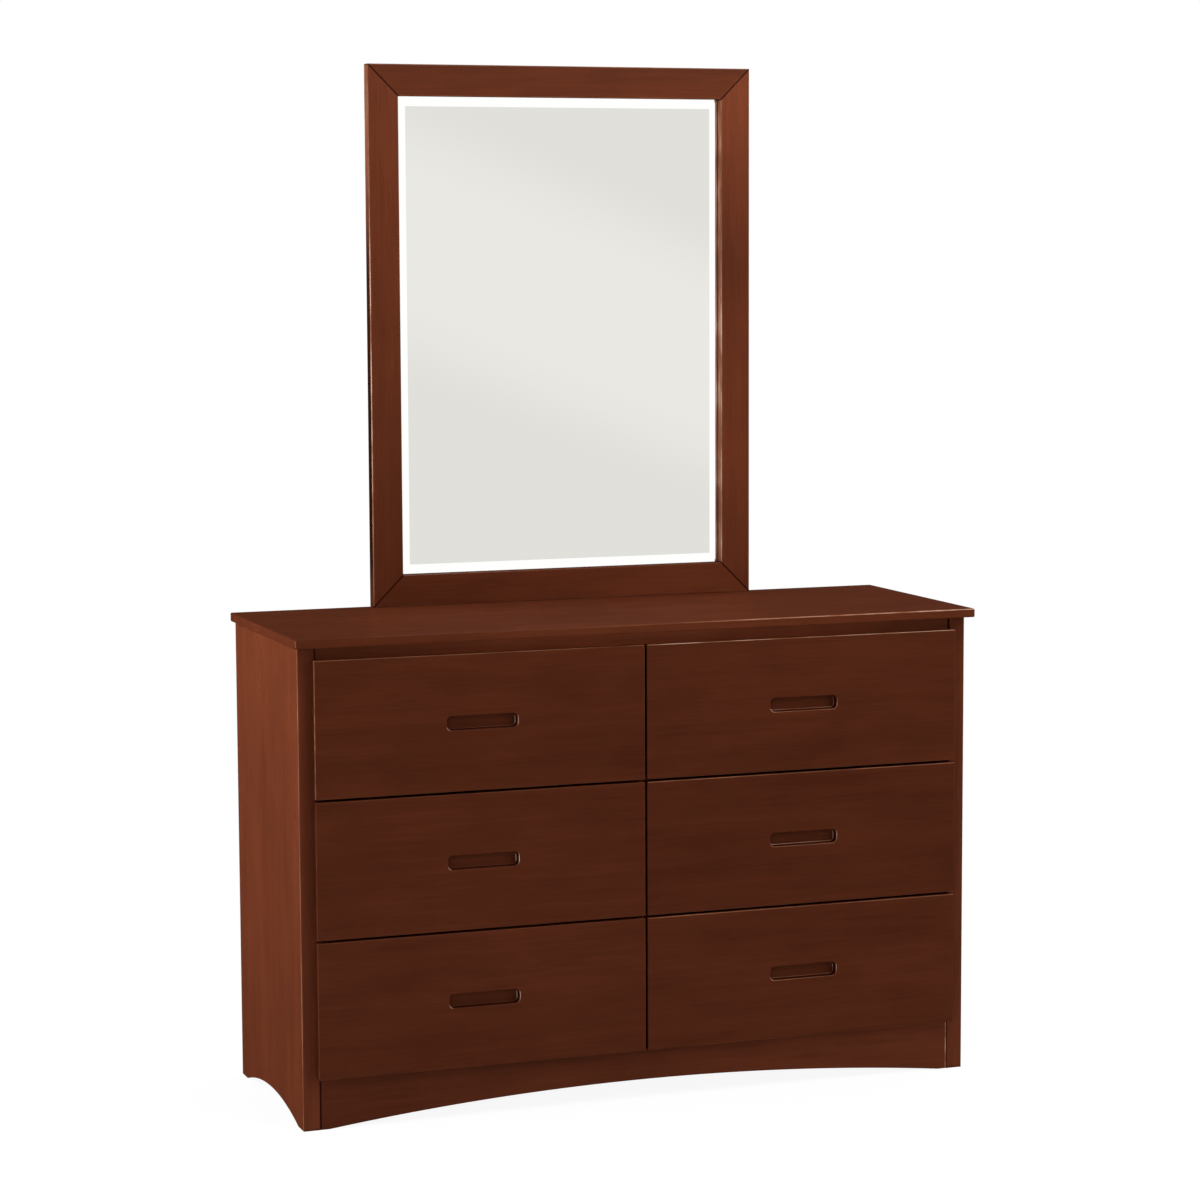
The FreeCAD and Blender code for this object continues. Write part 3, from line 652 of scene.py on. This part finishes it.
def side_rings(column, tone, front_edge_painted_shade, sizes):
    """Rings of a side from its inner to its outer face, with the marks that its finish reads.

    The outline goes along the floor with a circle's arch between the feet, up the back edge, along the head
    and down the front. From the inner face to the rebate's step, the back edge above the ledge is drawn in
    by the back panel's thickness.
    """
    low, high = corners(f"{column}_side_panel")
    back_low, back_high = corners("back_panel")
    ledge = back_low[2]
    curve = arch(low[1] + sizes.side_foot, high[1] - sizes.side_foot, sizes.side_rise, SIDE_ARCH_POINTS)
    outline = held(np.concatenate([
        [(low[1], 0)], curve,
        [(high[1], 0), (high[1], ledge), (high[1], ledge + SHARP_STEP), (high[1], high[2]),
         (low[1], high[2])]]), CORNER_HOLD)
    inset, height, wear = edge_profile(
        high[0] - low[0], sizes.fine_arris, sizes.arris, sizes.flat_hold, sizes.turns)
    flat = inset_outlines(outline, inset)
    rebate = high[0] - back_high[0] if column == "right" else back_low[0] - low[0]
    step = high[0] - low[0] - rebate
    split = sizes.turns + 2
    flat = np.concatenate([flat[:split], flat[split - 1:split], flat[split - 1:split], flat[split:]])
    height = np.concatenate([height[:split], [step - SHARP_STEP, step], height[split:]])
    wear = np.concatenate([wear[:split], [0, 0], wear[split:]])
    cut = (outline[:, 0] > high[1] - 1.2 * CORNER_HOLD) & (outline[:, 1] > ledge + SHARP_STEP / 2)
    flat[:split + 1, cut, 0] -= back_high[1] - back_low[1]
    rings = lifted(flat, low[0] + height if column == "right" else high[0] - height, "X")
    inner = np.arange(len(wear)) < split
    front = outline[:, 0] == low[1]
    # Painted shade on the inner face's eased edges, full along the front edge beside the drawers
    joint = np.where(inner, wear, 0)[:, None] * np.ones(len(outline))
    joint[1:split - 1, front] = 1
    # Face and front edge: painted light and painted shade from foot to head
    stain = np.interp(flat[..., 1], (0, high[2]), tone)
    stain[:split + 3, front] = np.interp(flat[:split + 3, front, 1], (0, high[2]), front_edge_painted_shade)
    return rings, {"wear": np.where(inner, 0, SIDE_WEAR_AND_GLINT * wear)[:, None], "joint": joint, "stain": stain}


class DRESSER_OT_rails(bpy.types.Operator):
    """Rail under the top and arched apron at the floor"""

    bl_idname = "dresser.rails"
    bl_label = "Rails"

    def execute(self, context):
        sizes = context.scene.dresser_sizes
        for node, (name, board, end_glint, tone) in RAIL_FINISH.items():
            low, high = corners(node)
            places = np.linspace(low[0], high[0], len(tone))
            edge = np.stack([places, np.full(len(tone), low[2])], axis=-1)
            head = np.stack([places[::-1], np.full(len(tone), high[2])], axis=-1)
            if name == "apron":
                foot = sizes.apron_foot
                curve = arch(low[0] + foot, high[0] - foot, sizes.apron_rise, APRON_ARCH_POINTS)
                edge = np.concatenate([edge[:1], curve, edge[-1:]])
            outline = np.concatenate([edge, head])
            inset, height, wear = edge_profile(
                high[1] - low[1], sizes.fine_arris, sizes.fine_arris, sizes.flat_hold, sizes.turns)
            flat = inset_outlines(outline, inset)
            left, right = outline[:, 0] == low[0], outline[:, 0] == high[0]
            rub_and_glint, joint = RAIL_WEAR * wear[:, None] * np.ones(len(outline)), np.zeros(flat.shape[:2])
            joint[sizes.turns + 1:-1, left | right] = 1
            # On the apron's right end a painted highlight stands in place of the dark seam
            if end_glint:
                rub_and_glint[-2, right], joint[-2, right] = end_glint, 0
            piece = shell(
                name, lifted(flat, high[1] - height, "Y"), wear=rub_and_glint, joint=joint, board=board,
                stain=np.interp(flat[..., 0], places, tone))
            seat(piece, node, cherry("X"))
        return {"FINISHED"}


class DRESSER_OT_drawer_fronts(bpy.types.Operator):
    """Six drawer fronts, each with a routed finger pull"""

    bl_idname = "dresser.drawer_fronts"
    bl_label = "Drawer fronts"

    def execute(self, context):
        sizes = context.scene.dresser_sizes
        for number, (column, row) in enumerate(DRAWERS):
            body = f"{column}_{row}_drawer"
            low, high = corners(f"{body}_front")
            rings, marks = drawer_front_rings(low, high, EDGE_WEAR_AND_GLINT[number], column, sizes)
            marks["stain"] += FRONT_STAINS[number]
            piece = shell(f"{body}_face", rings, board=FRONT_BOARD + FRONT_BOARD_STEP * number, **marks)
            seat(piece, f"{body}_front", cherry("X", "front"))
        return {"FINISHED"}


def drawer_front_rings(low, high, edges, column, sizes):
    """Rings of a drawer front and its pull, with the marks that its finish reads.

    All rings are rounded rectangles about the front's middle. They run from the back face round the edges
    to the front face, in to the pull's mouth, round its rim by a quarter circle, down the wall, and round
    another quarter circle to the floor. The marks go by the angle that a point faces: painted highlights and
    rubbing on the right, upper, left and lower edge as given, painted shade on the sides of the ends and
    painted light on the sides facing the gaps between rows, painted highlights on the pull's rim and the foot
    of its wall, and painted shade on its wall.
    """
    half, middle = (high - low) / 2, (high + low) / 2
    turns = sizes.turns
    angle, down, up = quarter(turns)
    inset, height, wear = edge_profile(
        high[1] - low[1], sizes.fine_arris, sizes.arris, sizes.flat_hold, turns)
    rim, bend, depth = sizes.pull_rim, sizes.pull_round, sizes.pull_depth
    hold = 0.4 * sizes.flat_hold
    floor_hold = 1.6 * hold
    grow = np.concatenate([[rim + hold], rim * down, [0, 0], -bend * up, [-bend - hold, -bend - floor_hold]])
    drop = np.concatenate([
        [0], rim * up, [rim + hold, depth - bend - hold], depth - bend * down, [depth, depth]])
    corner = np.maximum(sizes.front_corner - inset, LEAST_CORNER)
    flat = rounded_rectangles(
        np.concatenate([half[0] - inset, sizes.pull_length / 2 + grow]),
        np.concatenate([half[2] - inset, sizes.pull_height / 2 + grow]),
        np.concatenate([corner, sizes.pull_corner + grow]), turns)
    rings = lifted(flat + middle[[0, 2]], np.concatenate([high[1] - height, low[1] + drop]), "Y")
    facing = (angle[None, :] + np.arange(4)[:, None] * np.pi / 2).ravel()
    eighths = np.arange(9) * np.pi / 4
    quarters = eighths[::2]
    # Rubbing and painted highlights on the front's edges, as given for each side
    front = wear[:, None] * np.interp(facing, quarters, (*edges, edges[0]))
    strip = np.zeros((len(inset), 1))
    strip[turns + 1:turns + 3] = 1
    # Painted highlights on the pull's rim and at the foot of its wall
    pull = np.zeros((len(grow), len(facing)))
    pull[1:turns + 1] = np.sin(2 * angle)[:, None] * np.interp(facing, eighths, PULL_RIM[column])
    pull[-3:-1] = np.interp(facing, eighths, PULL_FOOT[column])
    # Painted shade on the pull's wall
    wall = np.zeros(pull.shape)
    wall[turns:-4] = PULL_WALL_SHADE
    # The sides of the edges take painted shade at the ends and painted light towards the gaps between rows
    return rings, {
        "wear": np.concatenate([front, pull]),
        "joint": np.concatenate([np.zeros(front.shape), wall]),
        "stain": np.concatenate([strip * np.interp(facing, quarters, EDGE_PAINTED_SHADING), np.zeros(pull.shape)]),
    }


def mitred_bar(profile, low, high, ease, hold, turns):
    """Profile carried along a straight line, with both ends cut at 45 degrees and their edges eased.

    A point at width w starts at low minus w and ends at high plus w. Near an end the profile is drawn in
    by a quarter circle, and between the ends stand further sections. Gives the length along, the width and
    the depth of every point, and the joint.
    """
    down, up = quarter(turns)[1:]
    between = np.linspace(0, 1, BAR_SECTIONS)[1:-1, None]
    back = np.concatenate([ease * up, [ease + hold]])
    inset = np.concatenate([ease * down, [0]])
    gathered = np.concatenate([np.ones(turns), [0]])
    section = inset_outlines(profile, inset)
    start = low - section[..., 0] + back[:, None]
    end = high + section[..., 0] - back[:, None]
    along = np.concatenate([start, start[-1] + between * (end[-1] - start[-1]), end[::-1]])
    section = np.concatenate([section, np.repeat(section[-1:], len(between), axis=0), section[::-1]])
    gathered = np.concatenate([gathered, np.zeros(len(between)), gathered[::-1]])
    return along, section[..., 0], section[..., 1], gathered


def frame_profile(sizes, front, back, glass):
    """Section of the mirror's frame as width and depth, with round front edges and a lip over the glass.

    With it come shares for the finish: the outer and the inner edge, most in mid round, the outer and the
    inner wall, and the seam against the glass. Drawn clockwise, it is handed on counter-clockwise.
    """
    turns = sizes.turns
    angle, down, up = quarter(turns)
    radius, fine, hold = sizes.frame_round, sizes.fine_arris, sizes.flat_hold
    width, lip = sizes.frame_width, sizes.frame_lip
    outer = np.stack([width - radius * up, front + radius * down], axis=-1)
    inner = np.stack([radius * down, front + radius * up], axis=-1)
    hem = np.stack([width - fine * down, back - fine * up], axis=-1)
    line = np.concatenate([
        [(lip, back), (width - fine - hold, back)], hem, [(width, front + radius + hold)], outer,
        [(width - radius - hold, front), (radius + hold, front)], inner, [(0, front + radius + hold)],
        [(0, glass - 2 * GLASS_HOLD), (0, glass - GLASS_HOLD), (0, glass), (lip, glass)]])
    names = ("outer_edge", "inner_edge", "outer_wall", "inner_wall", "seam")
    shares = {name: np.zeros(len(line)) for name in names}
    shares["outer_edge"][turns + 3:2 * turns + 3] = np.sin(2 * angle)
    shares["inner_edge"][-turns - 5:-5] = np.sin(2 * angle)
    shares["outer_wall"][turns + 1:turns + 4] = 1
    shares["inner_wall"][-6:-3] = 1
    shares["seam"][-3:] = 1
    return line[::-1], {name: share[::-1] for name, share in shares.items()}


def member_marks(node, place, shares):
    """Rubbing and painted highlights on a member of the mirror's frame, with painted light on its walls, and
    painted shading of its outer wall, at shares of the height.
    """
    given = {
        name: np.interp(place, STILE_PLACES, values) for name, values in STILE_MARKS.get(node, {}).items()}
    inner_wear_and_glint = FRAME_WEAR_AND_GLINT_BELOW if node == "mirror_bottom_rail" else FRAME_WEAR_AND_GLINT
    wear = (
        shares["outer_edge"] * given.get("outer_edge", FRAME_WEAR_AND_GLINT)
        + shares["inner_edge"] * given.get("inner_edge", inner_wear_and_glint)
        + shares["outer_wall"] * given.get("outer_painted_light", 0)
        + shares["inner_wall"] * given.get("inner_painted_light", 0))
    return wear, shares["outer_wall"] * given.get("outer_painted_shading", 0)


class DRESSER_OT_mirror_frame(bpy.types.Operator):
    """Four mitred members of the mirror's frame"""

    bl_idname = "dresser.mirror_frame"
    bl_label = "Mirror frame"

    def execute(self, context):
        sizes = context.scene.dresser_sizes
        low, high = corners("mirror_left_stile")
        right = corners("mirror_right_stile")[1][0]
        glass_front = corners("mirror_glass")[0][1]
        profile, shares = frame_profile(sizes, low[1], high[1], glass_front)
        left_edge, right_edge = low[0] + sizes.frame_width, right - sizes.frame_width
        foot_edge, head_edge = low[2] + sizes.frame_width, high[2] - sizes.frame_width
        # Each member's stain along its length: painted light, mostly brighter towards the head and the right
        members = (
            ("mirror_top_rail", "X", left_edge, right_edge, head_edge, 1, (0.0, 0.05)),
            ("mirror_bottom_rail", "X", left_edge, right_edge, foot_edge, -1, (0.01, 0.33)),
            ("mirror_left_stile", "Z", foot_edge, head_edge, left_edge, -1, (-0.06, 0.34)),
            ("mirror_right_stile", "Z", foot_edge, head_edge, right_edge, 1, (0.22, 0.30, -0.02, 0.46)),
        )
        for number, (node, way, start, end, inner, side, tone) in enumerate(members):
            along, width, depth, joint = mitred_bar(
                profile, start, end, sizes.mitre_ease, sizes.flat_hold, sizes.turns)
            across = inner + side * width
            rings = np.stack([along, depth, across] if way == "X" else [across, depth, along], axis=-1)
            wear, wall_painted_shading = member_marks(node, (along - low[2]) / (high[2] - low[2]), shares)
            piece = shell(
                f"{node}_bar", rings, wear=wear, joint=np.maximum(joint[:, None], shares["seam"]),
                board=FRAME_BOARD + FRAME_BOARD_STEP * number,
                stain=np.interp(along, np.linspace(start, end, len(tone)), tone) + wall_painted_shading)
            seat(piece, node, cherry(way))
        return {"FINISHED"}


class DRESSER_OT_mirror_glass(bpy.types.Operator):
    """Bevelled and silvered glass"""

    bl_idname = "dresser.mirror_glass"
    bl_label = "Mirror glass"

    def execute(self, context):
        sizes = context.scene.dresser_sizes
        finish = context.scene.dresser_finish
        low, high = corners("mirror_glass")
        half, middle = (high - low) / 2, (high + low) / 2
        inset = np.array([0, 0, sizes.bevel_width])
        flat = rounded_rectangles(half[0] - inset, half[2] - inset, np.zeros(3), turns=1)
        depth = np.array([high[1], low[1] + sizes.bevel_fall, low[1]])
        rings = lifted(flat + middle[[0, 2]], depth, "Y")
        piece = shell("mirror_plate", rings, smooth=False)
        bend_bevel(piece.data, middle)
        seat(piece, "mirror_glass", silver("silvered_face", finish.silver_face, painted_dimming=0.09))
        piece.data.materials.append(silver("silvered_bevel", finish.bevel_painted_reflection, painted_dimming=0.0))
        piece.data.materials.append(painted_back("painted_back"))
        face, bevel, paint = 0, 1, 2
        edges_bevels_back_front = [paint] * 4 + [bevel] * 4 + [paint, face]
        piece.data.polygons.foreach_set("material_index", np.array(edges_bevels_back_front, dtype=np.int32))
        return {"FINISHED"}


def bend_bevel(mesh, middle):
    """Normals of the bevel as silvered glass shows it.

    Glass silvered behind bends a reflection towards its thicker part by the bevel's angle, where a bare
    facet would throw it outwards by twice that angle, so each normal leans in by half the facet's angle.
    """
    count = len(mesh.polygons)
    normals, centres = np.empty(count * 3), np.empty(count * 3)
    mesh.polygons.foreach_get("normal", normals)
    mesh.polygons.foreach_get("center", centres)
    normals, outwards = normals.reshape(-1, 3), centres.reshape(-1, 3) - middle
    outwards[:, 1] = 0
    bevel = (normals[:, 1] < -0.5) & (np.linalg.norm(outwards, axis=1) > SHARP_STEP)
    half_inwards = (-0.5, 1.0, -0.5)
    lean = normals * half_inwards
    normals[bevel] = (lean / np.linalg.norm(lean, axis=1, keepdims=True))[bevel]
    loops = np.empty(count, dtype=np.int32)
    mesh.polygons.foreach_get("loop_total", loops)
    mesh.normals_split_custom_set(np.repeat(normals, loops, axis=0).tolist())


class DRESSER_OT_drawer_boxes(bpy.types.Operator):
    """Finish of the pale drawer boxes and their hardboard bottoms"""

    bl_idname = "dresser.drawer_boxes"
    bl_label = "Drawer boxes"

    def execute(self, context):
        finish = context.scene.dresser_finish
        wood = {
            along: board_wood(
                f"box_grain_{along.lower()}", along, finish.box_light, finish.box_dark,
                roughness=0.5, specular=0.3, figure=0.8)
            for along in ("X", "Y")}
        bottom = hardboard("drawer_hardboard")
        for column, row in DRAWERS:
            body = f"{column}_{row}_drawer"
            dress(wood["Y"], f"{body}_left_side", f"{body}_right_side")
            dress(wood["X"], f"{body}_back")
            dress(bottom, f"{body}_bottom")
        return {"FINISHED"}


class DRESSER_OT_case_inside(bpy.types.Operator):
    """Finish of the partition, back, runners, blocks and mirror supports"""

    bl_idname = "dresser.case_inside"
    bl_label = "Inside and back"

    def execute(self, context):
        finish = context.scene.dresser_finish
        runner = board_wood(
            "runner_grain_y", "Y", finish.runner_light, finish.runner_dark,
            roughness=0.45, specular=0.35, figure=0.9)
        dress(runner, "top_blocks", *(f"{column}_{row}_runners" for column, row in DRAWERS))
        dress(cherry("Z"), "left_mirror_support", "right_mirror_support", "centre_partition")
        dress(cherry("X"), "back_top_rail", "back_base_rail")
        dress(hardboard("back_hardboard"), "back_panel", "mirror_backing_board")
        return {"FINISHED"}


class DRESSER_OT_fasteners(bpy.types.Operator):
    """Finish of the screws, nails and turn buttons"""

    bl_idname = "dresser.fasteners"
    bl_label = "Fasteners"

    def execute(self, context):
        dress(
            plated_steel("zinc_plate"), "runner_screws", "top_block_screws", "mirror_support_screws",
            "back_panel_nails", "mirror_turn_buttons")
        return {"FINISHED"}


class DRESSER_OT_stage(bpy.types.Operator):
    """Camera, soft lamps, pale floor and white room"""

    bl_idname = "dresser.stage"
    bl_label = "Stage"

    def execute(self, context):
        studio = context.scene.dresser_studio
        place_camera(context.scene, studio)
        for name, place, target, size, power in LAMPS:
            soft_lamp(name, place, target, size, getattr(studio, power))
        lay_floor(studio)
        light_room(context.scene, studio)
        context.scene.view_settings.view_transform = "Standard"
        return {"FINISHED"}


def place_camera(scene, studio):
    """Camera turned by yaw about the upright, tilted by pitch and rolled about its own line."""
    lens = bpy.data.cameras.new("camera")
    lens.lens, lens.sensor_width, lens.sensor_fit = studio.lens, studio.sensor, "HORIZONTAL"
    camera = bpy.data.objects.new("camera", lens)
    scene.collection.objects.link(camera)
    turn = (
        Matrix.Rotation(-studio.yaw, 4, "Z") @ Matrix.Rotation(math.pi / 2 + studio.pitch, 4, "X")
        @ Matrix.Rotation(studio.roll, 4, "Z"))
    camera.matrix_world = Matrix.Translation(studio.camera_place) @ turn
    scene.camera = camera


def soft_lamp(name, place, target, size, power):
    """Soft box of a width and height that faces a point."""
    lamp = bpy.data.lights.new(name, "AREA")
    lamp.shape, lamp.energy = "RECTANGLE", power
    lamp.size, lamp.size_y = size
    box = bpy.data.objects.new(name, lamp)
    bpy.context.scene.collection.objects.link(box)
    box.location = place
    box.rotation_euler = (Vector(target) - Vector(place)).to_track_quat("-Z", "Y").to_euler()
    box.visible_camera = False


def show_by_ray(shader, depth, even, satin, seen):
    """Shows one shader to the eye, one to satin surfaces and one to all other rays.

    The eye is the camera, straight, through glass or in a mirror that it sees. A mirror counts below a
    depth: the ray's depth is one at a surface seen in it and two at the world.
    """
    path = shader.add("LightPath").outputs
    first = shader.maths("LESS_THAN", path["Ray Depth"], depth)
    mirror = shader.maths("MULTIPLY", path["Is Singular Ray"], first)
    clear = shader.maths("MAXIMUM", path["Is Transmission Ray"], mirror)
    eye = shader.maths("MAXIMUM", path["Is Camera Ray"], clear)
    shader.show(shader.blend(eye, shader.blend(path["Is Glossy Ray"], even, satin), seen))


def lay_floor(studio):
    """Flat floor: a grid of two by two points, white to the camera apart from its share of shadow."""
    ends = (-FLOOR_REACH, FLOOR_REACH)
    u, v = np.meshgrid(ends, ends)
    mesh = bpy.data.meshes.new("floor")
    mesh.from_pydata(np.stack([u, v, np.zeros_like(u)], axis=-1).reshape(-1, 3).tolist(), [], [(0, 1, 3, 2)])
    floor = bpy.data.objects.new("floor", mesh)
    bpy.context.scene.collection.objects.link(floor)
    shader = Shader(bpy.data.materials.new("floor_white"))
    surface = shader.add("BsdfDiffuse", {"Color": FLOOR_GREY}).outputs[0]
    distance = shader.add("VectorMath", {0: shader.place()}, operation="LENGTH").outputs["Value"]
    near, far = 0.4 * studio.shade_reach, studio.shade_reach
    share = shader.span(distance, near, far, studio.floor_shade, 0.0)
    open_level = (1 - studio.floor_shade * studio.floor_lit) / (1 - studio.floor_shade)
    glow = shader.white("Emission", shader.span(distance, near, far, open_level, 1.0))
    show_by_ray(
        shader, depth=1.5, even=surface, satin=shader.white("Emission", studio.walls),
        seen=shader.blend(share, glow, surface))
    mesh.materials.append(shader.block)


def light_room(scene, studio):
    """World: white where it is seen, a pale ceiling over dark walls in satin surfaces, else an even light."""
    scene.world = bpy.data.worlds.new("room")
    shader = Shader(scene.world)
    upwards = shader.add("SeparateXYZ", {0: shader.add("TexCoord").outputs["Generated"]}).outputs["Z"]
    wall_end, ceiling_start = 0.35, 0.9
    level = shader.span(upwards, wall_end, ceiling_start, studio.walls, studio.ceiling)
    even, satin, seen = (shader.white("Background", strength) for strength in (studio.sky, level, 1.0))
    show_by_ray(shader, depth=2.5, even=even, satin=satin, seen=seen)


OPERATORS = (
    DRESSER_OT_stage, DRESSER_OT_top, DRESSER_OT_sides, DRESSER_OT_rails, DRESSER_OT_drawer_fronts,
    DRESSER_OT_mirror_frame, DRESSER_OT_mirror_glass, DRESSER_OT_drawer_boxes, DRESSER_OT_case_inside,
    DRESSER_OT_fasteners,
)


class DRESSER_PT_panel(bpy.types.Panel):
    """Lists the pieces and the sizes and colours they use"""

    bl_label = "Dresser with mirror"
    bl_idname = "DRESSER_PT_panel"
    bl_space_type = "VIEW_3D"
    bl_region_type = "UI"
    bl_category = "Dresser"

    def draw(self, context):
        for operator in OPERATORS:
            self.layout.operator(operator.bl_idname)
        for place, group in GROUPS.items():
            box = self.layout.box()
            for name in group.__annotations__:
                box.prop(getattr(context.scene, place), name)


GROUPS = {"dresser_sizes": DresserSizes, "dresser_finish": DresserFinish, "dresser_studio": DresserStudio}
CLASSES = (*GROUPS.values(), *OPERATORS, DRESSER_PT_panel)


def register():
    for item in CLASSES:
        bpy.utils.register_class(item)
    for place, group in GROUPS.items():
        setattr(bpy.types.Scene, place, PointerProperty(type=group))


def unregister():
    for place in GROUPS:
        delattr(bpy.types.Scene, place)
    for item in reversed(CLASSES):
        bpy.utils.unregister_class(item)


def main():
    register()
    for operator in OPERATORS:
        family, name = operator.bl_idname.split(".")
        getattr(getattr(bpy.ops, family), name)()


if __name__ == "__main__":
    main()
